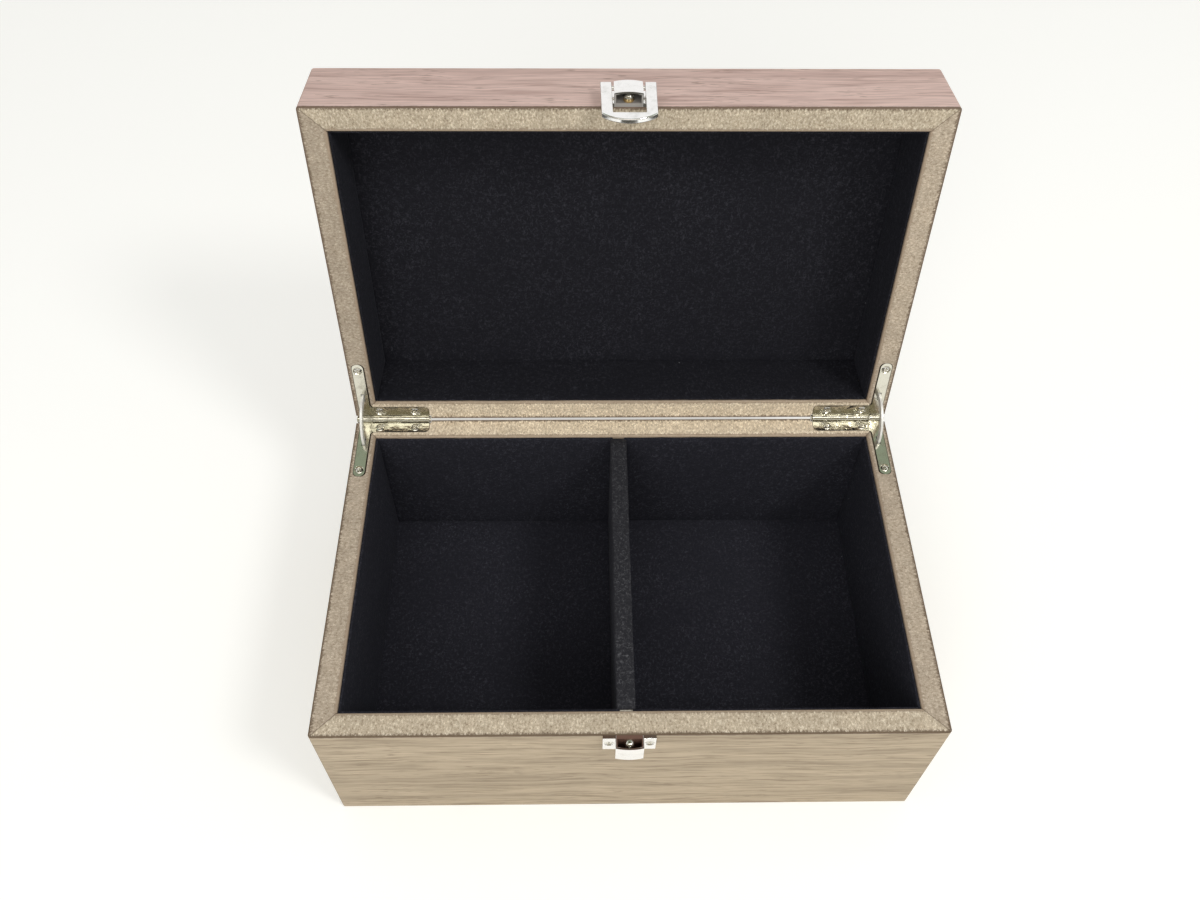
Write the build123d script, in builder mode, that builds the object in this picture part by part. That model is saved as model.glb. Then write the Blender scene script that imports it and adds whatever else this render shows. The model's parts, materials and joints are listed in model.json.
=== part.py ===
from build123d import *
import os
from math import cos, radians, sin

# Chess box with a hinged lid: two mitred trays of veneered board, lined with felt, joined by
# two quadrant hinges at the back and held shut by a swinging hasp at the front.
# Millimetres. Origin at the centre of the underside, +Z up, +Y to the back, front faces -Y.
# The lid stands open, as it rests on the stays of its hinges.

# ---- box -------------------------------------------------------------------------------
BOX_LENGTH = 280.0  # X, over the veneer
BOX_DEPTH = 175.5  # Y, over the veneer
BASE_HEIGHT = 86.5
LID_HEIGHT = 37.5
LID_OPEN = 99.0  # degrees from closed
RIM_GAP = 0.2  # between the two rims when the lid is down

VENEER = 0.6
BOARD = 10.7
WALL = VENEER + BOARD
PANEL_LAP = 5.0  # how far a panel reaches into the walls' rebate
BOTTOM_PANEL = 6.5
TOP_PANEL = 2.9
CORNER_RADIUS = 1.5
TOP_EDGE_RADIUS = 1.1
UNDERSIDE_EDGE_RADIUS = 0.5
RIM_EDGE_RADIUS = 0.4
INNER_EDGE_RADIUS = 0.8
OVERSHOOT = 1.0  # how far an open-ended cut runs out of the wood

WALL_FELT = 1.2
FLOOR_FELT = 1.5
CEILING_FELT = 1.0
FELT_BELOW_RIM = 1.0

DIVIDER_X = -1.9
DIVIDER_BOARD = 6.0
DIVIDER_FELT = 1.15
DIVIDER_FELT_RADIUS = 0.7
DIVIDER_BELOW_RIM = 1.0
DIVIDER_BARE_END = 1.3  # length of board left bare at its front end

# ---- quadrant hinges -------------------------------------------------------------------
AXIS_BEHIND_BACK = 0.45
LEAF_THICKNESS = 1.4
LEAF_BELOW_RIM = 0.1
LEAF_SIDE = 2.3  # from the box's side to the leaf
LEAF_ARM_WIDTH = 5.7
LEAF_ARM_END = 36.5  # from the box's back
LEAF_LEG_END = 38.5  # from the box's side
LEAF_LEG_FRONT = 8.0  # from the box's back
LEAF_LEG_BACK = 2.0
LEAF_INNER_CHAMFER = 1.0
LEAF_CORNER_RADIUS = 2.5
LEAF_ARM_TIP_RADIUS = 2.7
RECESS_MARGIN = 0.25
RECESS_ARM_GAP = 0.5  # more room on the inner side of the arm

BARREL_RADIUS = 2.1
BARREL_GROOVE_RADIUS = 2.4
BARREL_GROOVE_END = 39.4  # from the box's side
PIN_RADIUS = 1.0
RUNNING_CLEARANCE = 0.06
PIN_ENDS = (0.3, 39.1)  # from the box's side
PIN_HEAD_RADIUS = 1.7
PIN_HEAD_LENGTH = 0.6
PIN_HEAD_EDGE_RADIUS = 0.45
KNUCKLES = {
    "base": ((3.2, 8.7), (16.5, 23.5)),
    "lid": ((1.0, 3.1), (8.8, 16.4), (23.6, 38.4)),
}

STAY_SIDE = 5.4  # from the box's side to the blade's middle
STAY_THICKNESS = 1.2
STAY_INNER, STAY_OUTER = 13.2, 16.8
STAY_LUG_THICKNESS = 3.0
STAY_LUG_INNER, STAY_LUG_OUTER = 12.9, 17.1
STAY_LUG_START, STAY_LUG_END = 7.5, 16.0  # degrees past the axis plane, lid open
SLOT_WIDTH = 2.0
SLOT_ENDS = (11.8, 16.9)  # from the box's back
MORTISE_WIDTH = 3.8
MORTISE_ENDS = (4.2, 17.3)  # from the box's back
MORTISE_DEPTH = 16.3

# ---- screws ----------------------------------------------------------------------------
SCREW_HEAD_RADIUS = 2.0
SCREW_CROWN = 0.45  # height of the domed head, sunk by as much
SCREW_DOME_RADIUS = (SCREW_HEAD_RADIUS**2 + SCREW_CROWN**2) / (2 * SCREW_CROWN)
SCREW_MOUTH_RADIUS = 2.35  # of the countersink round the head
SCREW_HEAD_DEPTH = 1.0
SCREW_SHANK_RADIUS = 0.95
SCREW_LENGTH = 10.0
SCREW_TIP = 2.0
CROSS_LENGTH, CROSS_WIDTH, CROSS_DEPTH = 2.4, 0.5, 0.7
HINGE_SCREWS = ((5.15, 32.4), (12.8, 4.9), (31.2, 4.9))  # from the box's side and back

# ---- latch -----------------------------------------------------------------------------
LATCH_X = -0.8  # the latch's middle, off the box's
EAR_THICKNESS = 1.6
EAR_EDGE_RADIUS = 0.2
EAR_HALF_WIDTH = 11.7
EAR_NEAR, EAR_FAR = 0.1, 11.6  # from the rim
HOOD_HALF_WIDTH = 6.15
HOOD_FAR = 11.2
HOOD_SIDE_STANDOFF, HOOD_MID_STANDOFF = 6.0, 6.7
HOOD_WALL = 0.8
EAR_SCREW_X = 8.9
EAR_SCREW_FROM_RIM = 5.3
KNOB_FROM_RIM = 2.8
KNOB_RADIUS = 2.3
KNOB_HEIGHT = 3.4
KNOB_CROWN_RADIUS = 1.9

PIVOT_FROM_RIM = 9.2
PIVOT_STANDOFF = 4.1
PIVOT_EYE_RADIUS = 1.9
PIVOT_PIN_RADIUS = 0.75
PIVOT_PIN_HALF_LENGTH = 11.5
HASP_TILT = 5.5  # degrees, the bar hanging closer to the wood than the pin
HASP_THICKNESS = 2.2
HASP_BACK = -0.2  # from the pin's middle to its back face
HASP_LEG_TOP = 1.2  # from the pin's middle, as are the next three
HASP_BAR_TOP = 21.4
HASP_CORNER = 22.2
HASP_LOWEST = 27.0
HASP_OUTER_TOP, HASP_OUTER_LOW = 11.9, 11.6  # half widths
HASP_INNER_TOP, HASP_INNER_LOW = 7.1, 6.8
HASP_CORNER_RADIUS = 0.9
HASP_EDGE_RADIUS = 0.5
EYE_INSET = 0.15  # from the leg's sides to the eye's ends

AXIS_Y = BOX_DEPTH / 2 + AXIS_BEHIND_BACK
AXIS_Z = BASE_HEIGHT + RIM_GAP / 2
INNER_HALF_LENGTH = BOX_LENGTH / 2 - WALL
INNER_HALF_DEPTH = BOX_DEPTH / 2 - WALL


class Tray:
    """One half of the box. Its frame lies on the rim, with local Z running into the tray."""

    def __init__(
        self, name, frame, back, height, far_edge_radius, panel_near, wall_far, felt_floor
    ):
        self.name = name
        self.frame = frame
        self.back = back  # sign of the frame's Y towards the hinges
        self.height = height
        self.far_edge_radius = far_edge_radius
        self.panel_near = panel_near
        self.wall_far = wall_far
        self.felt_floor = felt_floor

    def plane(self, depth):
        return self.frame.offset(depth)

    def spot(self, from_side, from_back, depth=0.0):
        """Local point measured from the left side and the back of the box."""
        return (-BOX_LENGTH / 2 + from_side, self.back * (BOX_DEPTH / 2 - from_back), depth)

    def front(self, x, from_rim, standoff):
        """Local point on the front face, X measured from the latch's middle."""
        return (x + LATCH_X, -self.back * (BOX_DEPTH / 2 + standoff), from_rim)

    def world(self, point):
        return self.frame.from_local_coords(point)

    def seat(self, point):
        """The frame's own directions at a local point."""
        return Plane(origin=self.world(point), x_dir=self.frame.x_dir, z_dir=self.frame.z_dir)

    def front_plane(self, x, from_rim, standoff, into_wood=False):
        outward = self.frame.y_dir * -self.back
        return Plane(
            origin=self.world(self.front(x, from_rim, standoff)),
            x_dir=self.frame.x_dir,
            z_dir=outward * -1 if into_wood else outward,
        )


base = Tray(
    "base",
    Plane(origin=(0, 0, BASE_HEIGHT), x_dir=(1, 0, 0), z_dir=(0, 0, -1)),
    back=-1,
    height=BASE_HEIGHT,
    far_edge_radius=UNDERSIDE_EDGE_RADIUS,
    panel_near=BASE_HEIGHT - BOTTOM_PANEL,
    wall_far=BASE_HEIGHT,
    felt_floor=BASE_HEIGHT - BOTTOM_PANEL - FLOOR_FELT,
)

# The lid's frame is its rim when closed, turned about the hinge axis to where it rests.
hinge_at_rest = Plane(
    origin=(0, AXIS_Y, AXIS_Z),
    x_dir=(1, 0, 0),
    z_dir=(0, sin(radians(LID_OPEN)), cos(radians(LID_OPEN))),
)
LID_WALL_FAR = LID_HEIGHT - VENEER
lid = Tray(
    "lid",
    Plane(
        origin=hinge_at_rest.from_local_coords((0, -AXIS_Y, RIM_GAP / 2)),
        x_dir=(1, 0, 0),
        z_dir=hinge_at_rest.z_dir,
    ),
    back=1,
    height=LID_HEIGHT,
    far_edge_radius=TOP_EDGE_RADIUS,
    panel_near=LID_WALL_FAR - TOP_PANEL,
    wall_far=LID_WALL_FAR,
    felt_floor=LID_WALL_FAR - TOP_PANEL - CEILING_FELT,
)

SIDES = ("front", "back", "left", "right")
os.makedirs("parts", exist_ok=True)


def write(part, name):
    part.label = name
    export_step(part, f"parts/{name}.step")


def write_pair(part, name):
    """A piece made for the left hinge, and its mirror image for the right one."""
    write(part, f"{name}_left")
    write(mirror(part, about=Plane.YZ), f"{name}_right")


def nearest_edge(shape, tray, point):
    return shape.edges().sort_by_distance(tray.world(point))[0]


# ---- screws ----------------------------------------------------------------------------


def screw_blank(plane, length=SCREW_LENGTH):
    """Wood screw without its cross. Its domed head is sunk and just reaches the plane."""
    with BuildPart(plane) as blank:
        with Locations((0, 0, SCREW_DOME_RADIUS)):
            Sphere(SCREW_DOME_RADIUS)
        Cylinder(
            SCREW_HEAD_RADIUS, SCREW_CROWN, align=(Align.CENTER, Align.CENTER, Align.MIN),
            mode=Mode.INTERSECT,
        )
        with Locations((0, 0, SCREW_CROWN)):
            Cone(
                SCREW_HEAD_RADIUS, SCREW_SHANK_RADIUS, SCREW_HEAD_DEPTH,
                align=(Align.CENTER, Align.CENTER, Align.MIN),
            )
        head = SCREW_CROWN + SCREW_HEAD_DEPTH
        with Locations((0, 0, head)):
            Cylinder(
                SCREW_SHANK_RADIUS, length - head - SCREW_TIP,
                align=(Align.CENTER, Align.CENTER, Align.MIN),
            )
        with Locations((0, 0, length - SCREW_TIP)):
            Cone(
                SCREW_SHANK_RADIUS, SCREW_SHANK_RADIUS / 4, SCREW_TIP,
                align=(Align.CENTER, Align.CENTER, Align.MIN),
            )
    return blank.part


def screw_seat(plane):
    """What the screw takes out of a plate: its own shape and the mouth round its head."""
    with BuildPart(plane) as seat:
        Cone(
            SCREW_MOUTH_RADIUS, SCREW_HEAD_RADIUS, SCREW_CROWN,
            align=(Align.CENTER, Align.CENTER, Align.MIN),
        )
    with BuildPart() as both:
        add(seat.part)
        add(screw_blank(plane))
    return both.part


def knob_blank(plane):
    """Round-headed screw in the pocket of a latch plate. The plane is the head's seat."""
    with BuildPart(plane) as blank:
        Cylinder(
            KNOB_RADIUS, KNOB_HEIGHT, rotation=(180, 0, 0),
            align=(Align.CENTER, Align.CENTER, Align.MIN),
        )
        crown = blank.edges().sort_by_distance(plane.from_local_coords((0, 0, -KNOB_HEIGHT)))[0]
        fillet(crown, KNOB_CROWN_RADIUS)
        Cylinder(
            SCREW_SHANK_RADIUS, SCREW_LENGTH - SCREW_TIP,
            align=(Align.CENTER, Align.CENTER, Align.MIN),
        )
        with Locations((0, 0, SCREW_LENGTH - SCREW_TIP)):
            Cone(
                SCREW_SHANK_RADIUS, SCREW_SHANK_RADIUS / 4, SCREW_TIP,
                align=(Align.CENTER, Align.CENTER, Align.MIN),
            )
    return blank.part


def with_cross(blank, plane):
    """The screw with the cross recess of its head, cut into the plane."""
    with BuildPart() as screw:
        add(blank)
        with BuildSketch(plane):
            Rectangle(CROSS_LENGTH, CROSS_WIDTH)
            Rectangle(CROSS_WIDTH, CROSS_LENGTH)
        extrude(amount=CROSS_DEPTH, mode=Mode.SUBTRACT)
    return screw.part


def group(parts):
    with BuildPart() as together:
        for part in parts:
            add(part)
    return together.part


def hinge_screw_planes(tray):
    """Heads of the three screws in the left leaf, and of the three in the right one."""
    left = [tray.spot(side, back, LEAF_BELOW_RIM) for side, back in HINGE_SCREWS]
    return [tray.seat(spot) for spot in left + [(-x, y, z) for x, y, z in left]]


def ear_screw_planes(tray):
    return [
        tray.front_plane(x, EAR_SCREW_FROM_RIM, EAR_THICKNESS, into_wood=True)
        for x in (-EAR_SCREW_X, EAR_SCREW_X)
    ]


def knob_plane(tray, lift=0.0):
    return tray.front_plane(0, KNOB_FROM_RIM, EAR_THICKNESS + lift, into_wood=True)


def latch_screw_blanks(tray):
    return [screw_blank(plane) for plane in ear_screw_planes(tray)] + [knob_blank(knob_plane(tray))]


# ---- hinge leaves ----------------------------------------------------------------------


def leaf_outline(tray, depth, margin=0.0, arm_gap=0.0):
    """L-shaped outline of the left leaf: an arm on the side wall, a leg on the back wall."""
    arm_outer = LEAF_SIDE - margin
    arm_inner = LEAF_SIDE + LEAF_ARM_WIDTH + margin + arm_gap
    arm_end = LEAF_ARM_END + margin
    leg_end = LEAF_LEG_END + margin
    leg_front = LEAF_LEG_FRONT + margin
    corners = (
        (arm_outer, LEAF_LEG_BACK), (leg_end, LEAF_LEG_BACK), (leg_end, leg_front),
        (arm_inner + LEAF_INNER_CHAMFER, leg_front), (arm_inner, leg_front + LEAF_INNER_CHAMFER),
        (arm_inner, arm_end), (arm_outer, arm_end),
    )
    with BuildSketch(tray.plane(depth)) as outline:
        with BuildLine():
            Polyline(*[tray.spot(*corner)[:2] for corner in corners], close=True)
        make_face()
        for corner, radius in (
            (corners[2], LEAF_CORNER_RADIUS),
            (corners[5], LEAF_ARM_TIP_RADIUS),
            (corners[6], LEAF_ARM_TIP_RADIUS),
        ):
            fillet(outline.vertices().sort_by_distance(tray.spot(*corner))[0], radius)
    return outline.sketch


def axis_cylinder(tray, radius, ends, mode=Mode.ADD):
    """Cylinder on the hinge axis between two distances from the box's left side."""
    start, end = ends
    with Locations(tray.seat(tray.spot((start + end) / 2, -AXIS_BEHIND_BACK, -RIM_GAP / 2))):
        Cylinder(radius, end - start, rotation=(0, 90, 0), mode=mode)


def block(tray, side_span, back_span, depth_span, mode=Mode.ADD):
    """Box between distances from the left side, from the back and from the rim."""
    middle = [sum(span) / 2 for span in (side_span, back_span, depth_span)]
    size = [span[1] - span[0] for span in (side_span, back_span, depth_span)]
    with Locations(tray.seat(tray.spot(*middle))):
        Box(*size, mode=mode)


def hinge_leaf(tray):
    """The left leaf: plate, its knuckles on the barrel, a slot for the stay, screw holes."""
    near, far = LEAF_BELOW_RIM, LEAF_BELOW_RIM + LEAF_THICKNESS
    own_pin = tray.name == "base"
    bore = PIN_RADIUS if own_pin else PIN_RADIUS + RUNNING_CLEARANCE
    with BuildPart() as leaf:
        extrude(leaf_outline(tray, near), amount=LEAF_THICKNESS, dir=tray.frame.z_dir)
        for ends in KNUCKLES[tray.name]:
            block(tray, ends, (-AXIS_BEHIND_BACK, LEAF_LEG_BACK), (near, far))
            axis_cylinder(tray, BARREL_RADIUS, ends)
            axis_cylinder(tray, bore, ends, mode=Mode.SUBTRACT)
        slot_sides = (STAY_SIDE - SLOT_WIDTH / 2, STAY_SIDE + SLOT_WIDTH / 2)
        block(tray, slot_sides, SLOT_ENDS, (near, far), mode=Mode.SUBTRACT)
        for plane in hinge_screw_planes(tray):
            add(screw_seat(plane), mode=Mode.SUBTRACT)
    return leaf.part


def hardware_cuts(tray):
    """All that the ironmongery needs cut out of one tray's wood."""
    recess_depth = LEAF_BELOW_RIM + LEAF_THICKNESS
    mortise_sides = (STAY_SIDE - MORTISE_WIDTH / 2, STAY_SIDE + MORTISE_WIDTH / 2)
    with BuildPart() as left_cuts:
        recess = leaf_outline(tray, 0, RECESS_MARGIN, RECESS_ARM_GAP)
        extrude(recess, amount=recess_depth, dir=tray.frame.z_dir)
        block(tray, mortise_sides, MORTISE_ENDS, (0, MORTISE_DEPTH))
        groove = (-OVERSHOOT, BARREL_GROOVE_END)
        axis_cylinder(tray, BARREL_GROOVE_RADIUS, groove)
        block(tray, groove, (-OVERSHOOT, LEAF_LEG_BACK), (0, recess_depth))
    with BuildPart() as cuts:
        add(left_cuts.part)
        mirror(left_cuts.part, about=Plane.YZ)
        for plane in hinge_screw_planes(tray):
            add(screw_blank(plane))
        for blank in latch_screw_blanks(tray):
            add(blank)
    return cuts.part


# ---- boards and panels -----------------------------------------------------------------


def mitred_outline(tray, side, inset, thickness):
    """Plan of a board along one side, its ends cut at 45 degrees, as a list of corners."""
    half_x, half_y = BOX_LENGTH / 2 - inset, BOX_DEPTH / 2 - inset
    if side in ("front", "back"):
        outer_y = half_y * (tray.back if side == "back" else -tray.back)
        inner_y = outer_y * (half_y - thickness) / half_y
        inner_x = half_x - thickness
        return (-half_x, outer_y), (half_x, outer_y), (inner_x, inner_y), (-inner_x, inner_y)
    outer_x = half_x * (1 if side == "right" else -1)
    inner_x = outer_x * (half_x - thickness) / half_x
    inner_y = half_y - thickness
    return (outer_x, -half_y), (outer_x, half_y), (inner_x, inner_y), (inner_x, -inner_y)


def envelope(tray):
    """Outer shape of a whole tray, with its rounded corners and eased edges."""
    inward = Axis(tray.frame.origin, tray.frame.z_dir)
    with BuildPart() as shape:
        with BuildSketch(tray.frame):
            RectangleRounded(BOX_LENGTH, BOX_DEPTH, CORNER_RADIUS)
        extrude(amount=tray.height)
        fillet(shape.faces().sort_by(inward)[-1].edges(), tray.far_edge_radius)
        fillet(shape.faces().sort_by(inward)[0].edges(), RIM_EDGE_RADIUS)
    return shape.part


def panel(tray, half_length, half_depth, near, far):
    with BuildPart() as sheet:
        with BuildSketch(tray.plane(near)):
            Rectangle(2 * half_length, 2 * half_depth)
        extrude(amount=far - near)
    return sheet.part


def wall_board(tray, side, panel_part, cuts):
    outline = mitred_outline(tray, side, VENEER, BOARD)
    with BuildPart() as board:
        with BuildSketch(tray.plane(0)):
            with BuildLine():
                Polyline(*outline, close=True)
            make_face()
        extrude(amount=tray.wall_far)
        inner_middle = [(a + b) / 2 for a, b in zip(outline[2], outline[3])]
        fillet(nearest_edge(board, tray, (*inner_middle, 0)), INNER_EDGE_RADIUS)
        add(panel_part, mode=Mode.SUBTRACT)
        add(cuts, mode=Mode.SUBTRACT)
    return board.part


def side_veneer(tray, side, shape, cuts):
    with BuildPart() as sheet:
        with BuildSketch(tray.plane(0)):
            with BuildLine():
                Polyline(*mitred_outline(tray, side, 0, VENEER), close=True)
            make_face()
        extrude(amount=tray.wall_far)
        add(shape, mode=Mode.INTERSECT)
        add(cuts, mode=Mode.SUBTRACT)
    return sheet.part


# ---- felt ------------------------------------------------------------------------------


def felt_sheets(tray, x_spans, y_span, depth_span):
    """Felt cut square, one sheet for each span along X."""
    with BuildPart() as felt:
        for left, right in x_spans:
            middle = ((left + right) / 2, sum(y_span) / 2, sum(depth_span) / 2)
            with Locations(tray.seat(middle)):
                Box(right - left, y_span[1] - y_span[0], depth_span[1] - depth_span[0])
    return felt.part


def line_with_felt(tray, bays):
    """Felt on the four walls and on the floor. Bays are the spans between the dividers."""
    half_y = INNER_HALF_DEPTH
    sheet_y = half_y - WALL_FELT
    wall_depths = (FELT_BELOW_RIM, tray.felt_floor)
    for side, sign in (("back", tray.back), ("front", -tray.back)):
        y_span = sorted((sign * sheet_y, sign * half_y))
        write(felt_sheets(tray, bays, y_span, wall_depths), f"{tray.name}_{side}_felt")
    for side, sign in (("left", -1), ("right", 1)):
        x_span = sorted((sign * (INNER_HALF_LENGTH - WALL_FELT), sign * INNER_HALF_LENGTH))
        sheet = felt_sheets(tray, [x_span], (-half_y, half_y), wall_depths)
        write(sheet, f"{tray.name}_{side}_felt")
    floor_bays = [
        (
            left - (WALL_FELT if left == bays[0][0] else 0),
            right + (WALL_FELT if right == bays[-1][1] else 0),
        )
        for left, right in bays
    ]
    floor_name = "floor" if tray.name == "base" else "ceiling"
    floor_depths = (tray.felt_floor, tray.panel_near)
    sheet = felt_sheets(tray, floor_bays, (-half_y, half_y), floor_depths)
    write(sheet, f"{tray.name}_{floor_name}_felt")


# ---- latch -----------------------------------------------------------------------------


def hood_outline(tray, depth, inset, near_standoff):
    """Plan of the hood: straight cheeks and a bowed front, shrunk by the inset."""
    half = HOOD_HALF_WIDTH - inset
    side, middle = HOOD_SIDE_STANDOFF - inset, HOOD_MID_STANDOFF - inset
    corners = [(-half, near_standoff), (-half, side), (half, side), (half, near_standoff)]
    root_l, tip_l, tip_r, root_r = [tray.front(x, 0, standoff)[:2] for x, standoff in corners]
    with BuildSketch(tray.plane(depth)) as outline:
        with BuildLine():
            Line(root_l, tip_l)
            ThreePointArc(tip_l, tray.front(0, 0, middle)[:2], tip_r)
            Line(tip_r, root_r)
            Line(root_r, root_l)
        make_face()
    return outline.sketch


def latch_plate(tray):
    """Plate with two screwed ears and a hood, open towards the rim, that the hasp goes round."""
    with BuildPart() as plate:
        with BuildSketch(tray.front_plane(0, (EAR_NEAR + EAR_FAR) / 2, 0)):
            Rectangle(2 * EAR_HALF_WIDTH, EAR_FAR - EAR_NEAR)
        extrude(amount=EAR_THICKNESS)
        outward = Axis(tray.world(tray.front(0, 0, 0)), tray.frame.y_dir * -tray.back)
        fillet(plate.faces().sort_by(outward)[-1].edges(), EAR_EDGE_RADIUS)
        extrude(hood_outline(tray, EAR_NEAR, 0, 0), amount=HOOD_FAR - EAR_NEAR, dir=tray.frame.z_dir)
        extrude(
            hood_outline(tray, EAR_NEAR, HOOD_WALL, EAR_THICKNESS),
            amount=HOOD_FAR - HOOD_WALL - EAR_NEAR, dir=tray.frame.z_dir, mode=Mode.SUBTRACT,
        )
        for plane in ear_screw_planes(tray):
            add(screw_seat(plane), mode=Mode.SUBTRACT)
        add(knob_blank(knob_plane(tray)), mode=Mode.SUBTRACT)
        if tray is lid:
            add(pivot_pin(), mode=Mode.SUBTRACT)
    return plate.part


def pivot_cylinder(radius, ends, mode=Mode.ADD):
    with Locations(lid.seat(lid.front(sum(ends) / 2, PIVOT_FROM_RIM, PIVOT_STANDOFF))):
        Cylinder(radius, ends[1] - ends[0], rotation=(0, 90, 0), mode=mode)


def pivot_pin():
    with BuildPart() as pin:
        pivot_cylinder(PIVOT_PIN_RADIUS, (-PIVOT_PIN_HALF_LENGTH, PIVOT_PIN_HALF_LENGTH))
    return pin.part


def hasp():
    """U-shaped frame: two legs that turn on the pin, and a bar that catches under the keeper."""
    top, bar, corner, lowest = HASP_LEG_TOP, -HASP_BAR_TOP, -HASP_CORNER, -HASP_LOWEST
    hanging = lid.front_plane(0, PIVOT_FROM_RIM, PIVOT_STANDOFF).rotated((HASP_TILT, 0, 0))
    face = hanging.offset(HASP_BACK)
    with BuildPart() as frame:
        with BuildSketch(face) as outline:
            with BuildLine():
                Line((-HASP_OUTER_TOP, top), (-HASP_OUTER_LOW, corner))
                ThreePointArc((-HASP_OUTER_LOW, corner), (0, lowest), (HASP_OUTER_LOW, corner))
                Polyline(
                    (HASP_OUTER_LOW, corner), (HASP_OUTER_TOP, top), (HASP_INNER_TOP, top),
                    (HASP_INNER_LOW, bar), (-HASP_INNER_LOW, bar), (-HASP_INNER_TOP, top),
                    (-HASP_OUTER_TOP, top),
                )
            make_face()
            for x in (-HASP_OUTER_LOW, HASP_OUTER_LOW):
                fillet(outline.vertices().sort_by_distance((x, corner))[0], HASP_CORNER_RADIUS)
        extrude(amount=HASP_THICKNESS)
        broad_faces = frame.faces().sort_by(Axis(face.origin, face.z_dir))
        for broad_face in (broad_faces[0], broad_faces[-1]):
            leg_ends = broad_face.edges().group_by(Axis(face.origin, face.y_dir))[-1]
            fillet(broad_face.edges() - leg_ends, HASP_EDGE_RADIUS)
    eye_outer, eye_inner = HASP_OUTER_TOP - EYE_INSET, HASP_INNER_TOP + EYE_INSET
    bore = (-HASP_OUTER_TOP - OVERSHOOT, HASP_OUTER_TOP + OVERSHOOT)
    with BuildPart() as finished:
        add(frame.part)
        for ends in ((-eye_outer, -eye_inner), (eye_inner, eye_outer)):
            pivot_cylinder(PIVOT_EYE_RADIUS, ends)
        pivot_cylinder(PIVOT_PIN_RADIUS + RUNNING_CLEARANCE, bore, mode=Mode.SUBTRACT)
    return finished.part


# ---- the two trays ---------------------------------------------------------------------
lap_length, lap_depth = INNER_HALF_LENGTH + PANEL_LAP, INNER_HALF_DEPTH + PANEL_LAP
divider_span = (DIVIDER_X - DIVIDER_BOARD / 2, DIVIDER_X + DIVIDER_BOARD / 2)
felt_end = INNER_HALF_LENGTH - WALL_FELT

for tray, panel_name, bays in (
    (base, "bottom_panel", [(-felt_end, divider_span[0]), (divider_span[1], felt_end)]),
    (lid, "top_panel", [(-felt_end, felt_end)]),
):
    cuts = hardware_cuts(tray)
    shape = envelope(tray)
    panel_part = panel(tray, lap_length, lap_depth, tray.panel_near, tray.wall_far)
    for side in SIDES:
        write(wall_board(tray, side, panel_part, cuts), f"{tray.name}_{side}_wall")
        write(side_veneer(tray, side, shape, cuts), f"{tray.name}_{side}_veneer")
    write(panel_part, f"{tray.name}_{panel_name}")
    line_with_felt(tray, bays)
    write_pair(hinge_leaf(tray), f"hinge_{tray.name}_leaf")
    screws = [with_cross(screw_blank(plane), plane) for plane in hinge_screw_planes(tray)]
    write(group(screws), f"{tray.name}_hinge_screws")
    screws = [with_cross(screw_blank(plane), plane) for plane in ear_screw_planes(tray)]
    screws.append(with_cross(knob_blank(knob_plane(tray)), knob_plane(tray, KNOB_HEIGHT)))
    latch_name = "keeper" if tray is base else "hasp_bracket"
    write(group(screws), f"{latch_name}_screws")
    write(latch_plate(tray), latch_name)

with BuildPart() as top_veneer:
    with BuildSketch(lid.plane(LID_WALL_FAR)):
        Rectangle(BOX_LENGTH, BOX_DEPTH)
    extrude(amount=VENEER)
    add(envelope(lid), mode=Mode.INTERSECT)
write(top_veneer.part, "lid_top_veneer")

# ---- divider ---------------------------------------------------------------------------
board_near = DIVIDER_BELOW_RIM + DIVIDER_FELT
with BuildPart() as divider_board:
    with Locations(base.seat((DIVIDER_X, 0, (board_near + base.panel_near) / 2))):
        Box(DIVIDER_BOARD, 2 * INNER_HALF_DEPTH, base.panel_near - board_near)
write(divider_board.part, "divider_board")

wrap_back = -(INNER_HALF_DEPTH - WALL_FELT)
wrap_front = INNER_HALF_DEPTH - DIVIDER_BARE_END
wrap_middle = (DIVIDER_X, (wrap_back + wrap_front) / 2, (DIVIDER_BELOW_RIM + base.felt_floor) / 2)
with BuildPart() as divider_felt:
    with Locations(base.seat(wrap_middle)):
        Box(
            DIVIDER_BOARD + 2 * DIVIDER_FELT, wrap_front - wrap_back,
            base.felt_floor - DIVIDER_BELOW_RIM,
        )
    top_edges = divider_felt.edges().filter_by(Axis.Y).group_by(Axis.Z)[-1]
    fillet(top_edges, DIVIDER_FELT_RADIUS)
    add(divider_board.part, mode=Mode.SUBTRACT)
write(divider_felt.part, "divider_felt")

# ---- hinge pins and stays --------------------------------------------------------------
with BuildPart() as hinge_pin:
    axis_cylinder(base, PIN_RADIUS, PIN_ENDS)
    near_head = (PIN_ENDS[0], PIN_ENDS[0] + PIN_HEAD_LENGTH)
    far_head = (PIN_ENDS[1] - PIN_HEAD_LENGTH, PIN_ENDS[1])
    axis_cylinder(base, PIN_HEAD_RADIUS, near_head)
    axis_cylinder(base, PIN_HEAD_RADIUS, far_head)
    pin_ends = hinge_pin.faces().sort_by(Axis.X)
    fillet([pin_ends[0].edges()[0], pin_ends[-1].edges()[0]], PIN_HEAD_EDGE_RADIUS)
write_pair(hinge_pin.part, "hinge_pin")


def sector(plane, inner, outer, start, end):
    """Ring sector on the plane, its angles measured from the plane's X axis."""
    def at(radius, angle):
        return radius * cos(radians(angle)), radius * sin(radians(angle))

    middle = (start + end) / 2
    with BuildSketch(plane) as ring:
        with BuildLine():
            ThreePointArc(at(inner, start), at(inner, middle), at(inner, end))
            Line(at(inner, end), at(outer, end))
            ThreePointArc(at(outer, end), at(outer, middle), at(outer, start))
            Line(at(outer, start), at(inner, start))
        make_face()
    return ring.sketch


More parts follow.
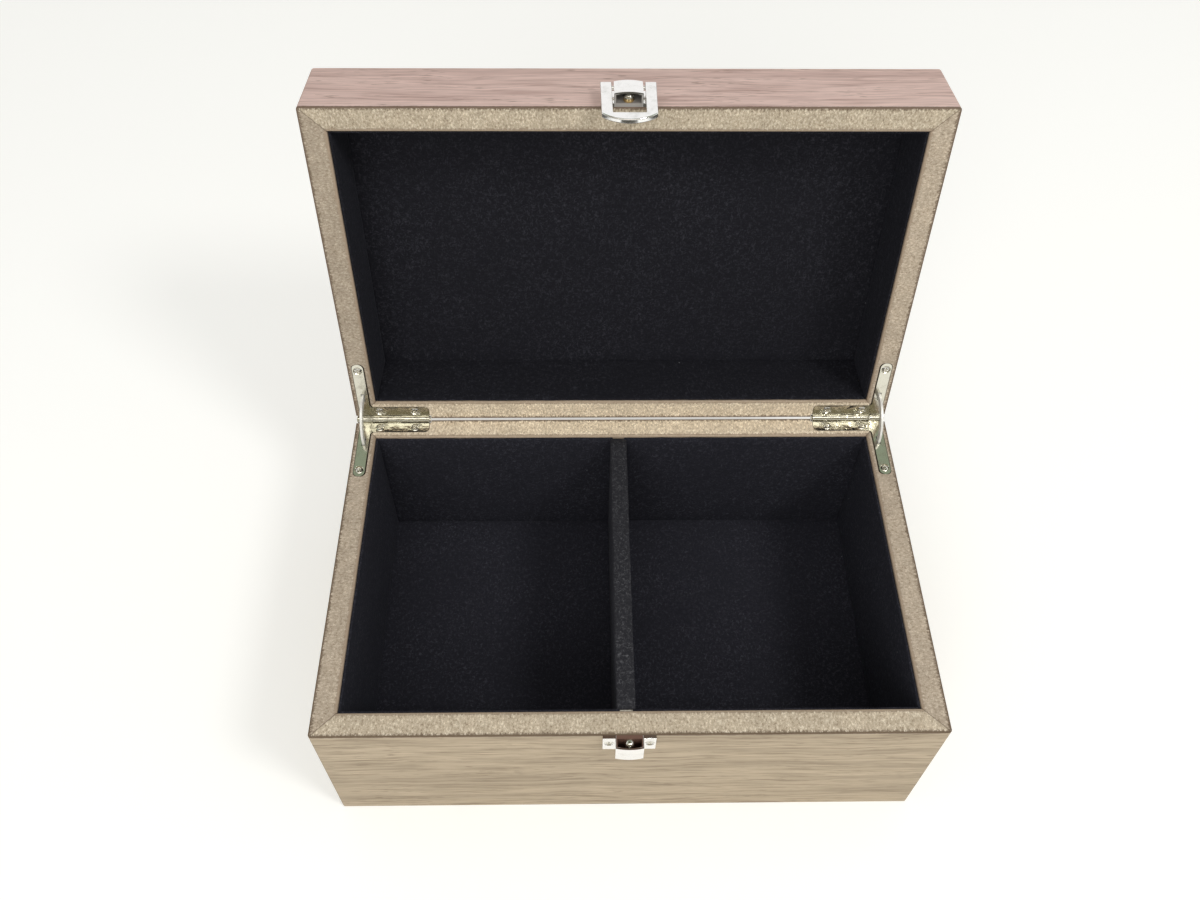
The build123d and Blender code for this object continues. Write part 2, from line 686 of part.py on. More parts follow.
# Angles of the stay run from the base's rim, towards the front, up to the open lid's rim.
stay_plane = Plane(
    origin=(-BOX_LENGTH / 2 + STAY_SIDE, AXIS_Y, AXIS_Z), x_dir=(0, -1, 0), z_dir=(-1, 0, 0)
)
with BuildPart() as stay:
    blade = (-STAY_LUG_END, LID_OPEN + STAY_LUG_END)
    extrude(sector(stay_plane, STAY_INNER, STAY_OUTER, *blade), amount=STAY_THICKNESS / 2, both=True)
    for lug in ((-STAY_LUG_END, -STAY_LUG_START), (LID_OPEN + STAY_LUG_START, blade[1])):
        face = sector(stay_plane, STAY_LUG_INNER, STAY_LUG_OUTER, *lug)
        extrude(face, amount=STAY_LUG_THICKNESS / 2, both=True)
write_pair(stay.part, "hinge_stay")

# ---- hasp ------------------------------------------------------------------------------
write(hasp(), "hasp_frame")
write(pivot_pin(), "hasp_pin")
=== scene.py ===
import json
from math import radians

import bmesh
import bpy
from mathutils import Matrix, Vector, noise


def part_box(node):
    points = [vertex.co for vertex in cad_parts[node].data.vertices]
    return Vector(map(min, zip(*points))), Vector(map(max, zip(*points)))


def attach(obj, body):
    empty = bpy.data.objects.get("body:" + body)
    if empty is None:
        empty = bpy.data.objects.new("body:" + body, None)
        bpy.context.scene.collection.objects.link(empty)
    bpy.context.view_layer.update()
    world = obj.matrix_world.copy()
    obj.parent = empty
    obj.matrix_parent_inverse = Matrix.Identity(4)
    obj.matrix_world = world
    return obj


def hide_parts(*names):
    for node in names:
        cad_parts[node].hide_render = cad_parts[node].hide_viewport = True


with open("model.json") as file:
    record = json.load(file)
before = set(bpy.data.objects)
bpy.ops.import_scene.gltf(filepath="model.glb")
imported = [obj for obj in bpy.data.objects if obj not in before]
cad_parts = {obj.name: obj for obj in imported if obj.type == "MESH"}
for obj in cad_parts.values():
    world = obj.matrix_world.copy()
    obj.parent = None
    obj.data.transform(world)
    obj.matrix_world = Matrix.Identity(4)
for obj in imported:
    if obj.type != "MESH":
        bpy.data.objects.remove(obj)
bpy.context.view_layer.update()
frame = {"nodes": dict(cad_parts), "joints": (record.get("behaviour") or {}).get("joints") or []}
nodes = frame["nodes"]


# ---- board walls ------------------------------------------------------------------------
# The walls of both trays are fibreboard, mitred at the corners and sanded by hand. Their rims
# show loose fibres, a burnished brown band beside the veneer and a smooth, eased inner edge.

HALF_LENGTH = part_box("base_right_veneer")[1].x
HALF_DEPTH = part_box("base_back_veneer")[1].y
WALL = HALF_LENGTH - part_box("base_right_wall")[0].x
WALL_SIDES = ("front", "back", "left", "right")

lid_joint = next(joint for joint in frame["joints"] if joint["name"] == "lid_hinge")
HINGE_AXIS = Vector(lid_joint["pos_m"])
LID_OPEN = radians(lid_joint["range_deg"][1])


def put(tree, kind, inputs=None, **settings):
    """A shader node with its settings. An input is a value or the socket that feeds it."""
    node = tree.nodes.new("ShaderNode" + kind)
    for name, value in settings.items():
        setattr(node, name, value)
    for name, value in (inputs or {}).items():
        if isinstance(value, bpy.types.NodeSocket):
            tree.links.new(value, node.inputs[name])
        else:
            node.inputs[name].default_value = value
    return node


def sum_up(tree, operation, *values, clamp=False):
    """One arithmetic step on numbers or sockets."""
    node = put(tree, "Math", dict(enumerate(values)), operation=operation, use_clamp=clamp)
    return node.outputs[0]


def fade(tree, value, start, end, low=0.0, high=1.0):
    """Eases from low to high while the value goes from start to end."""
    spans = {"Value": value, "From Min": start, "From Max": end, "To Min": low, "To Max": high}
    return put(tree, "MapRange", spans, interpolation_type="SMOOTHSTEP").outputs["Result"]


def blend_colour(tree, amount, first, second, blend_type="MIX"):
    """Mixes two colours. A Mix node takes its factor at input 0 and its colours at 6 and 7."""
    node = put(
        tree, "Mix", {0: amount, 6: first, 7: second}, data_type="RGBA", blend_type=blend_type
    )
    return node.outputs[2]


def grainy(tree, place, scale, detail=3.0, roughness=0.55, stretch=(1, 1, 1)):
    """A noise pattern whose coordinates are scaled first, so that it can run along one way."""
    stretched = put(tree, "Mapping", {"Vector": place, "Scale": stretch}).outputs[0]
    settings = {"Vector": stretched, "Scale": scale, "Detail": detail, "Roughness": roughness}
    return put(tree, "TexNoise", settings).outputs["Fac"]


def brighten(tree, colour, factor):
    """Multiplies a colour by a number that varies over the surface."""
    grey = put(tree, "CombineXYZ", {0: factor, 1: factor, 2: factor}).outputs[0]
    return blend_colour(tree, 1.0, colour, grey, "MULTIPLY")


def wandering(tree, distance, pattern, reach):
    """A distance pushed to and fro by a pattern, so that what fades along it has a ragged edge."""
    return sum_up(tree, "MULTIPLY_ADD", sum_up(tree, "SUBTRACT", pattern, 0.5), reach, distance)


def effect(name, inputs, outputs):
    """An empty node group with named sockets, and its two end nodes."""
    tree = bpy.data.node_groups.new(name, "ShaderNodeTree")
    kinds = {"value": "NodeSocketFloat", "vector": "NodeSocketVector", "colour": "NodeSocketColor"}
    for in_out, sockets in (("INPUT", inputs), ("OUTPUT", outputs)):
        for socket_name, kind in sockets.items():
            tree.interface.new_socket(socket_name, in_out=in_out, socket_type=kinds[kind])
    return tree, tree.nodes.new("NodeGroupInput").outputs, tree.nodes.new("NodeGroupOutput").inputs


def use(tree, group, inputs):
    """Places a finished effect in a material and sets its sockets."""
    return put(tree, "Group", inputs, node_tree=group).outputs


def finish_material(name):
    """A new material: its tree, its Principled BSDF and the object's own coordinates."""
    material = bpy.data.materials.new(name)
    material.use_nodes = True
    tree = material.node_tree
    shader = tree.nodes["Principled BSDF"]
    return material, tree, shader, put(tree, "TexCoord").outputs["Object"]


def surface(tree, shader, colour, roughness=None, height=None, depth=0.0):
    """Joins what varies over the surface to the shader. The depth is the height's, in metres."""
    tree.links.new(colour, shader.inputs["Base Color"])
    if roughness is not None:
        tree.links.new(roughness, shader.inputs["Roughness"])
    if height is not None:
        bump = put(tree, "Bump", {"Height": height, "Distance": depth, "Strength": 1.0})
        tree.links.new(bump.outputs[0], shader.inputs["Normal"])


def shut_place(tree, place, tray):
    """Coordinates in the shut box: the lid's are turned back down about the hinge."""
    if tray == "base":
        return place
    turn = Matrix.Rotation(LID_OPEN, 3, "X")
    settings = {
        "Vector": place,
        "Location": HINGE_AXIS - turn @ HINGE_AXIS,
        "Rotation": (LID_OPEN, 0, 0),
    }
    return put(tree, "Mapping", settings).outputs[0]


# In metres, where each mark on a rim starts to show and where it is strongest: the burnt and
# eased bands from its outer and inner edge, the glue line from the mitre, and the recesses cut
# for the hinges from the rim's level, from its inner edge and from the middle of the box.
BURNT_BAND = 0.0019, 0.0005
EASED_BAND = 0.0017, 0.0010
MITRE_LINE = 0.00042, 0.00016
RECESS_DEPTH = 0.0003, 0.0007
RECESS_INSET = 0.0013, 0.0016
RECESS_REACH = 0.040, 0.060
# The recesses cut for the hinges are darkened with painted shade for the shadow of their walls, with
# some scorch from the cutter.
RECESS_PAINTED_SHADE = (0.060, 0.042, 0.028, 1)
BURNT_BROWN = (0.150, 0.104, 0.066, 1)
EASED_BROWN = (0.350, 0.262, 0.182, 1)
RIM_RELIEF = 0.00022


def make_rim_effect():
    """Colour, roughness and relief of a sawn and sanded fibreboard rim."""
    inputs = {
        "Place": "vector",
        "Body": "colour",
        "Fleck": "colour",
        "Pit": "colour",
        "Burnt": "colour",
        "Eased": "colour",
        "Across X": "value",
    }
    outputs = {"Colour": "colour", "Roughness": "value", "Height": "value"}
    tree, given, result = effect("Sanded Rim", inputs, outputs)
    place = given["Place"]
    split = put(tree, "SeparateXYZ", {0: place}).outputs
    from_side = sum_up(tree, "SUBTRACT", HALF_LENGTH, sum_up(tree, "ABSOLUTE", split[0]))
    from_face = sum_up(tree, "SUBTRACT", HALF_DEPTH, sum_up(tree, "ABSOLUTE", split[1]))
    outer = sum_up(tree, "MINIMUM", from_side, from_face)

    swapped = put(tree, "CombineXYZ", {0: split[1], 1: split[0], 2: split[2]}).outputs[0]
    turned = put(
        tree, "Mix", {0: given["Across X"], 4: place, 5: swapped}, data_type="VECTOR"
    ).outputs[1]
    fibres = grainy(tree, turned, 1250, 3.0, 0.7, stretch=(1, 0.62, 0.8))
    crumbs = grainy(tree, turned, 2900, 2.0, 0.6, stretch=(1, 0.8, 0.9))
    clouds = grainy(tree, place, 95, 3.0, 0.5)

    colour = blend_colour(tree, fade(tree, fibres, 0.50, 0.68), given["Body"], given["Fleck"])
    colour = blend_colour(tree, fade(tree, fibres, 0.46, 0.32), colour, given["Pit"])
    shade = fade(tree, crumbs, 0.35, 0.65, 0.88, 1.09)
    shade = sum_up(tree, "MULTIPLY", shade, fade(tree, clouds, 0.3, 0.7, 0.93, 1.05))
    colour = brighten(tree, colour, shade)

    burnt = fade(tree, wandering(tree, outer, fibres, 0.0042), *BURNT_BAND)
    colour = blend_colour(tree, sum_up(tree, "MULTIPLY", burnt, 0.85), colour, given["Burnt"])
    inner = sum_up(tree, "SUBTRACT", WALL, outer)
    eased = fade(tree, wandering(tree, inner, fibres, 0.0020), *EASED_BAND)
    colour = blend_colour(tree, sum_up(tree, "MULTIPLY", eased, 0.8), colour, given["Eased"])

    off_mitre = sum_up(tree, "ABSOLUTE", sum_up(tree, "SUBTRACT", from_side, from_face))
    joint = fade(tree, wandering(tree, off_mitre, crumbs, 0.0006), *MITRE_LINE)
    colour = blend_colour(tree, sum_up(tree, "MULTIPLY", joint, 0.55), colour, given["Burnt"])

    # Painted shade in the hinge recesses, below the rim's level and back from its inner edge.
    sunk = sum_up(tree, "ABSOLUTE", sum_up(tree, "SUBTRACT", split[2], HINGE_AXIS.z))
    from_middle = sum_up(tree, "ABSOLUTE", split[0])
    recess_shade = sum_up(tree, "MULTIPLY", fade(tree, sunk, *RECESS_DEPTH), fade(tree, inner, *RECESS_INSET))
    recess_shade = sum_up(tree, "MULTIPLY", recess_shade, fade(tree, from_middle, *RECESS_REACH))
    colour = blend_colour(tree, sum_up(tree, "MULTIPLY", recess_shade, 0.9), colour, RECESS_PAINTED_SHADE)

    tree.links.new(colour, result["Colour"])
    tree.links.new(fade(tree, eased, 0.0, 1.0, 0.82, 0.55), result["Roughness"])
    rough_part = sum_up(tree, "SUBTRACT", 1.0, eased)
    height = sum_up(tree, "ADD", fibres, sum_up(tree, "MULTIPLY", crumbs, 0.5))
    height = sum_up(tree, "MULTIPLY", height, rough_part)
    height = sum_up(tree, "SUBTRACT", height, sum_up(tree, "MULTIPLY", joint, 0.6))
    tree.links.new(height, result["Height"])
    return tree


rim_effect = make_rim_effect()


def board_material(tray, side, body, fleck, pit):
    """Fibreboard of one wall, whose rim runs along Y on the short sides of the box."""
    material, tree, shader, place = finish_material(f"Fibreboard {tray} {side}")
    sockets = {
        "Place": shut_place(tree, place, tray),
        "Body": body,
        "Fleck": fleck,
        "Pit": pit,
        "Burnt": BURNT_BROWN,
        "Eased": EASED_BROWN,
        "Across X": 1.0 if side in ("left", "right") else 0.0,
    }
    rim = use(tree, rim_effect, sockets)
    surface(tree, shader, rim["Colour"], rim["Roughness"], rim["Height"], RIM_RELIEF)
    return material


LONG_BOARD = (0.500, 0.415, 0.300, 1), (0.760, 0.670, 0.520, 1)
SHORT_BOARD = (0.455, 0.372, 0.278, 1), (0.640, 0.545, 0.420, 1)
BOARD_PIT = (0.290, 0.225, 0.152, 1)
# Each wall's colours scaled: a little is how boards differ in tone, most is painted light and shade, as
# on the lighter backs and the lid's lighter right side.
BOARD_TONES_AND_PAINTED_LIGHT = {
    ("base", "front"): 1.10, ("base", "back"): 1.52, ("base", "left"): 1.05, ("base", "right"): 1.06,
    ("lid", "front"): 0.98, ("lid", "back"): 1.35, ("lid", "left"): 0.89, ("lid", "right"): 1.05,
}
for tray in ("base", "lid"):
    for side in WALL_SIDES:
        board = LONG_BOARD if side in ("front", "back") else SHORT_BOARD
        tone_and_light = BOARD_TONES_AND_PAINTED_LIGHT[tray, side]
        toned_and_lit = [(*(tone_and_light * part for part in colour[:3]), 1) for colour in (*board, BOARD_PIT)]
        node = nodes[f"{tray}_{side}_wall"]
        node.data.materials.clear()
        node.data.materials.append(board_material(tray, side, *toned_and_lit))


# ---- bottom and top boards --------------------------------------------------------------
# Plain fibreboard let into the walls. The underside shows its smooth, pressed face, which is
# darker than the sawn rims; the top board is covered by veneer and felt.

PRESSED_DARK = (0.245, 0.175, 0.115, 1)
PRESSED_PALE = (0.330, 0.245, 0.165, 1)
PRESSED_CLOUD = (0.270, 0.200, 0.135, 1)
PRESSED_RELIEF = 0.00004


def pressed_board_material():
    """The closed face of fibreboard as it leaves the press, mottled and slightly cloudy."""
    material, tree, shader, place = finish_material("Pressed Board")
    mottle = grainy(tree, place, 420, 4.0, 0.6)
    clouds = grainy(tree, place, 30, 3.0, 0.5)
    colour = blend_colour(tree, fade(tree, mottle, 0.35, 0.65), PRESSED_DARK, PRESSED_PALE)
    colour = blend_colour(tree, fade(tree, clouds, 0.3, 0.7, 0.0, 0.35), colour, PRESSED_CLOUD)
    roughness = fade(tree, mottle, 0.3, 0.7, 0.48, 0.62)
    surface(tree, shader, colour, roughness, mottle, PRESSED_RELIEF)
    return material


pressed_board = pressed_board_material()
for name in ("base_bottom_panel", "lid_top_panel"):
    nodes[name].data.materials.clear()
    nodes[name].data.materials.append(pressed_board)


# ---- veneer -----------------------------------------------------------------------------
# Walnut veneer, 0.6 mm thick, sanded and left matt. Its grain runs the long way round every
# side, with broad bands, fine streaks and short open pores. The lid's sheets are pinker than
# the base's and painted lighter, as painted light for the weaker light falling on them,
# most of all the one in front.


def make_grain_effect():
    """Straight wood grain that runs along the first coordinate."""
    inputs = {"Along": "vector", "Ground": "colour", "Streak": "colour", "Pore": "colour"}
    outputs = {"Colour": "colour", "Roughness": "value", "Height": "value"}
    tree, given, result = effect("Veneer Grain", inputs, outputs)
    along = given["Along"]
    drift = grainy(tree, along, 14, 2.0, 0.5, stretch=(1, 1.6, 1))
    sway = sum_up(tree, "MULTIPLY", sum_up(tree, "SUBTRACT", drift, 0.5), 0.010)
    sway = put(tree, "CombineXYZ", {0: 0.0, 1: sway, 2: 0.0}).outputs[0]
    swayed = put(tree, "VectorMath", {0: along, 1: sway}, operation="ADD").outputs[0]

    bands = grainy(tree, swayed, 110, 4.0, 0.6, stretch=(0.055, 1, 1))
    streaks = grainy(tree, swayed, 520, 4.0, 0.65, stretch=(0.042, 1, 1))
    threads = grainy(tree, swayed, 1500, 2.0, 0.6, stretch=(0.035, 1, 1))
    pores = grainy(tree, swayed, 1500, 1.0, 0.5, stretch=(0.085, 1, 1))
    where = grainy(tree, swayed, 220, 2.0, 0.5, stretch=(0.10, 1, 1))

    banded = fade(tree, bands, 0.42, 0.66, 0.0, 0.5)
    colour = blend_colour(tree, banded, given["Ground"], given["Streak"])
    colour = blend_colour(tree, fade(tree, streaks, 0.47, 0.68, 0.0, 0.85), colour, given["Streak"])
    lifted = fade(tree, threads, 0.30, 0.70, 0.88, 1.12)
    lifted = sum_up(tree, "MULTIPLY", lifted, fade(tree, streaks, 0.50, 0.26, 1.0, 1.07))
    colour = brighten(tree, colour, lifted)
    open_pore = sum_up(tree, "MULTIPLY", fade(tree, pores, 0.60, 0.70), fade(tree, where, 0.42, 0.60))
    colour = blend_colour(tree, sum_up(tree, "MULTIPLY", open_pore, 0.6), colour, given["Pore"])

    tree.links.new(colour, result["Colour"])
    tree.links.new(fade(tree, streaks, 0.3, 0.7, 0.52, 0.66), result["Roughness"])
    height = sum_up(tree, "ADD", threads, sum_up(tree, "MULTIPLY", streaks, 0.6))
    height = sum_up(tree, "SUBTRACT", height, open_pore)
    tree.links.new(height, result["Height"])
    return tree


grain_effect = make_grain_effect()
BASE_WOOD = (0.500, 0.406, 0.290, 1), (0.292, 0.231, 0.161, 1)
# The lid's sheets are lighter as painted light, to make up for the weaker light on them; the front one
# most.
LID_WOOD_PAINTED_LIGHTER = (0.640, 0.492, 0.418, 1), (0.422, 0.302, 0.254, 1)
LID_FRONT_WOOD_PAINTED_LIGHTER = (0.700, 0.518, 0.458, 1), (0.468, 0.322, 0.280, 1)
PORE = (0.150, 0.100, 0.065, 1)
SCORCHED = (0.130, 0.090, 0.058, 1)
SCORCHED_EDGE = 0.0006, 0.0001
VENEER_RELIEF = 0.00005
# How far apart in the log two sheets in turn are cut: along its grain and into it.
SHEET_STEP = 0.37
SLICE_STEP = 0.11


def veneer_material(tray, side, sheet):
    """Veneer cut from its own part of the log, which is what the sheet number picks."""
    material, tree, shader, place = finish_material(f"Veneer {tray} {side}")
    place = shut_place(tree, place, tray)
    split = put(tree, "SeparateXYZ", {0: place}).outputs
    if side in ("left", "right"):
        length, height = split[1], sum_up(tree, "ADD", split[0], split[2])
    else:
        length, height = split[0], sum_up(tree, "ADD", split[1], split[2])
    shifted = sum_up(tree, "ADD", length, SHEET_STEP * sheet)
    along = put(tree, "CombineXYZ", {0: shifted, 1: height, 2: SLICE_STEP * sheet}).outputs[0]
    ground, streak = BASE_WOOD if tray == "base" else LID_WOOD_PAINTED_LIGHTER
    if (tray, side) == ("lid", "front"):
        ground, streak = LID_FRONT_WOOD_PAINTED_LIGHTER
    sockets = {"Along": along, "Ground": ground, "Streak": streak, "Pore": PORE}
    grain = use(tree, grain_effect, sockets)
    from_rim = sum_up(tree, "ABSOLUTE", sum_up(tree, "SUBTRACT", split[2], HINGE_AXIS.z))
    wander = sum_up(tree, "MULTIPLY_ADD", grainy(tree, place, 700), -0.0008, from_rim)
    scorch = fade(tree, wander, *SCORCHED_EDGE, 0.0, 0.9)
    colour = blend_colour(tree, scorch, grain["Colour"], SCORCHED)
    surface(tree, shader, colour, grain["Roughness"], grain["Height"], VENEER_RELIEF)
    shader.inputs["Specular IOR Level"].default_value = 0.15
    return material


SHEETS = [("base", side) for side in WALL_SIDES] + [("lid", side) for side in (*WALL_SIDES, "top")]
for sheet, (tray, side) in enumerate(SHEETS):
    node = nodes[f"{tray}_{side}_veneer"]
    node.data.materials.clear()
    node.data.materials.append(veneer_material(tray, side, sheet))


# ---- felt lining ------------------------------------------------------------------------
# Dark navy pressed felt, 1 to 1.5 mm thick, cut square with scissors and glued to walls, floor
# and lid. It has a faint nap, lighter rubbed places and white lint caught in its fibres.

LINT = (0.16, 0.16, 0.17, 1)
LINT_EDGE = 0.030, 0.018
LINT_SPACING = 62.0
FELT_NAP = 0.00035


def make_felt_effect():
    """Crossing hairs and tufts, rubbed lighter in patches, with a speck of lint here and there."""
    inputs = {"Place": "vector", "Wool": "colour", "Rubbed": "colour", "Lint": "colour"}
    outputs = {"Colour": "colour", "Height": "value"}
    tree, given, result = effect("Pressed Felt", inputs, outputs)
    place = given["Place"]
    curl = put(tree, "TexNoise", {"Vector": place, "Scale": 330.0, "Detail": 2.0}).outputs["Color"]
    curl = put(tree, "VectorMath", {0: curl, 1: (0.5, 0.5, 0.5)}, operation="SUBTRACT").outputs[0]
    curl = put(tree, "VectorMath", {0: curl, "Scale": 0.0045}, operation="SCALE").outputs[0]
    curled = put(tree, "VectorMath", {0: place, 1: curl}, operation="ADD").outputs[0]
    tufts = grainy(tree, place, 620, 3.0, 0.65)
    hairs = grainy(tree, curled, 1500, 2.0, 0.6, stretch=(0.25, 1, 1))
    crossing = grainy(tree, curled, 1500, 2.0, 0.6, stretch=(1, 0.25, 0.25))
    patches = grainy(tree, place, 26, 4.0, 0.6)
    nap = sum_up(tree, "MAXIMUM", hairs, crossing)
    raised = fade(tree, tufts, 0.38, 0.62, 0.15, 1.0)
    light = sum_up(tree, "MULTIPLY", fade(tree, nap, 0.48, 0.72), raised)
    light = sum_up(tree, "MULTIPLY", light, fade(tree, patches, 0.35, 0.70, 0.55, 1.0))
    colour = blend_colour(tree, light, given["Wool"], given["Rubbed"])
    specks = put(tree, "TexVoronoi", {"Vector": place, "Scale": LINT_SPACING, "Randomness": 1.0})
    chosen = put(tree, "SeparateXYZ", {0: specks.outputs["Color"]}).outputs[0]
    ragged = wandering(tree, specks.outputs["Distance"], tufts, 0.030)
    lint = sum_up(tree, "MULTIPLY", fade(tree, ragged, *LINT_EDGE), fade(tree, chosen, 0.80, 0.81))
    colour = blend_colour(tree, lint, colour, given["Lint"])
    tree.links.new(colour, result["Colour"])
    height = sum_up(tree, "ADD", tufts, sum_up(tree, "MULTIPLY", nap, 0.7))
    tree.links.new(height, result["Height"])
    return tree


felt_effect = make_felt_effect()


def felt_material(name, wool, rubbed):
    """Felt of one dye, with the faint sheen of wool seen from the side."""
    material, tree, shader, place = finish_material(name)
    sockets = {"Place": place, "Wool": wool, "Rubbed": rubbed, "Lint": LINT}
    felt = use(tree, felt_effect, sockets)
    surface(tree, shader, felt["Colour"], None, felt["Height"], FELT_NAP)
    shader.inputs["Roughness"].default_value = 0.95
    shader.inputs["Specular IOR Level"].default_value = 0.08
    shader.inputs["Sheen Weight"].default_value = 0.05
    shader.inputs["Sheen Roughness"].default_value = 0.5
    shader.inputs["Sheen Tint"].default_value = (0.45, 0.47, 0.60, 1)
    return material


# The colour of the wool and of its rubbed nap. It is one felt; the tray's sides and most of all
# its floor are painted lighter, as painted light against the shade deep in the tray.
LID_WOOL = (0.0120, 0.0120, 0.0152, 1), (0.0430, 0.0430, 0.0520, 1)
SIDE_WOOL_PAINTED_LIGHTER = (0.0180, 0.0180, 0.0232, 1), (0.0640, 0.0640, 0.0790, 1)
FLOOR_WOOL_PAINTED_LIGHTER = (0.0225, 0.0225, 0.0290, 1), (0.0680, 0.0680, 0.0840, 1)
lid_felt = felt_material("Lid Felt", *LID_WOOL)
side_felt = felt_material("Side Felt", *SIDE_WOOL_PAINTED_LIGHTER)
floor_felt = felt_material("Floor Felt", *FLOOR_WOOL_PAINTED_LIGHTER)


def solids_of(bm):
    """The separate lumps of a mesh, each as a list of its vertices."""
    left = set(bm.verts)
    lumps = []
    while left:
        front = [left.pop()]
        lump = list(front)
        while front:
            vertex = front.pop()
            for edge in vertex.link_edges:
                other = edge.other_vert(vertex)
                if other in left:
                    left.remove(other)
                    front.append(other)
                    lump.append(other)
        lumps.append(lump)
    return lumps


WELD_GAP = 0.000002
FLAT_ENOUGH = radians(0.5)


def merged_copy(node):
    """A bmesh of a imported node's mesh, its loose triangles joined into clean faces."""
    bm = bmesh.new()
    bm.from_mesh(nodes[node].data)
    bmesh.ops.remove_doubles(bm, verts=bm.verts, dist=WELD_GAP)
    bmesh.ops.dissolve_limit(
        bm, angle_limit=FLAT_ENOUGH, verts=bm.verts, edges=bm.edges, use_dissolve_boundaries=False
    )
    return bm


def piece_from(bm, name, body, material, node):
    """Turns the bmesh into an object that rides on a body and stands for its node."""
    mesh = bpy.data.meshes.new(name)
    bm.to_mesh(mesh)
    bm.free()
    mesh.materials.append(material)
    piece = bpy.data.objects.new(name, mesh)
    bpy.context.scene.collection.objects.link(piece)
    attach(piece, body)
    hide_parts(node)
    return piece


FELT_CELL = 0.006
FELT_HALVINGS = 6
FELT_WAVE = 0.00018
FELT_EDGE = 0.00035
FELT_CORNER = radians(60)


def cut_into_cells(bm):
    """Halves the long edges until the cells of the felt are small enough to ripple."""
    for halving in range(FELT_HALVINGS):
        long_edges = [edge for edge in bm.edges if edge.calc_length() > FELT_CELL]
        if not long_edges:
            break
        bmesh.ops.subdivide_edges(bm, edges=long_edges, cuts=1, use_grid_fill=True)
    bmesh.ops.triangulate(bm, faces=[face for face in bm.faces if len(face.verts) > 4])


def ripple(bm):
    """The slight unevenness of glued felt, and faces shaded as one soft surface."""
    for vertex in bm.verts:
        wave = noise.noise(vertex.co * 90) + 0.6 * noise.noise(vertex.co * 260)
        vertex.co += vertex.normal * FELT_WAVE * wave
    bmesh.ops.recalc_face_normals(bm, faces=bm.faces)
    for face in bm.faces:
        face.smooth = True


def felt_sheet(node, body, material):
    """A felt sheet over its node: cells small enough to ripple, rounded edges, an uneven face."""
    bm = merged_copy(node)
    lengths = [
        max(edge.calc_length() for vertex in lump for edge in vertex.link_edges)
        for lump in solids_of(bm)
    ]
    areas = sorted((face.calc_area() for face in bm.faces), reverse=True)
    cut_into_cells(bm)
    rim = [edge for edge in bm.edges if edge.is_manifold and edge.calc_face_angle(0) > FELT_CORNER]
    bmesh.ops.bevel(
        bm, geom=rim, offset=FELT_EDGE, segments=2, affect="EDGES", profile=0.5, material=-1
    )
    ripple(bm)
    piece = piece_from(bm, node + "_cloth", body, material, node)


LININGS = [
    ("base", side_felt, "base_floor_felt", floor_felt, "base_bottom_panel"),
    ("lid", lid_felt, "lid_ceiling_felt", lid_felt, "lid_top_panel"),
]
for tray, wall_felt, flat_sheet, flat_felt, panel in LININGS:
    for side in WALL_SIDES:
        felt_sheet(f"{tray}_{side}_felt", tray, wall_felt)
    felt_sheet(flat_sheet, tray, flat_felt)


# ---- divider ----------------------------------------------------------------------------
# A thin board slid in across the base, with one strip of felt folded over its top edge. The
# strip stops short of the front wall and leaves a sliver of pale board bare.

SLIVER_PALE = (0.92, 0.88, 0.76, 1)
SLIVER_DARK = (0.74, 0.68, 0.56, 1)
SLIVER_RELIEF = 0.0001
FELT_DYE = (0.030, 0.030, 0.035, 1)
DYED_FROM, DYED_BY = 0.0, 0.05
DIVIDER_WOOL = (0.0240, 0.0240, 0.0275, 1), (0.1150, 0.1150, 0.1220, 1)


def bare_board_material():
    """Pale board in front. At the back, dye and fluff from the felt have made it dark."""
    material, tree, shader, place = finish_material("Bare Divider Board")
    fibres = grainy(tree, place, 900, 3.0, 0.6)
    pale = fade(tree, fibres, 0.35, 0.65)
    colour = blend_colour(tree, pale, SLIVER_DARK, SLIVER_PALE)
    towards_back = put(tree, "SeparateXYZ", {0: place}).outputs[1]
    colour = blend_colour(tree, fade(tree, towards_back, DYED_FROM, DYED_BY), colour, FELT_DYE)
    surface(tree, shader, colour, None, fibres, SLIVER_RELIEF)
    shader.inputs["Roughness"].default_value = 0.8
    return material


nodes["divider_board"].data.materials.clear()
nodes["divider_board"].data.materials.append(bare_board_material())

divider_felt_cloth = felt_material("Divider Felt", *DIVIDER_WOOL)


def divider_fold():
    """The strip of felt over the board: both faces and the rounded fold at the top."""
    bm = merged_copy("divider_felt")
    cut_into_cells(bm)
    ripple(bm)
    piece = piece_from(bm, "divider_felt_cloth", "base", divider_felt_cloth, "divider_felt")


divider_fold()


# ---- hinges -----------------------------------------------------------------------------
# Quadrant hinges stamped from steel and nickel plated: two leaves each, rolled knuckles on a
# headed pin, and a curved stay blade that slides through a slot in both leaves.


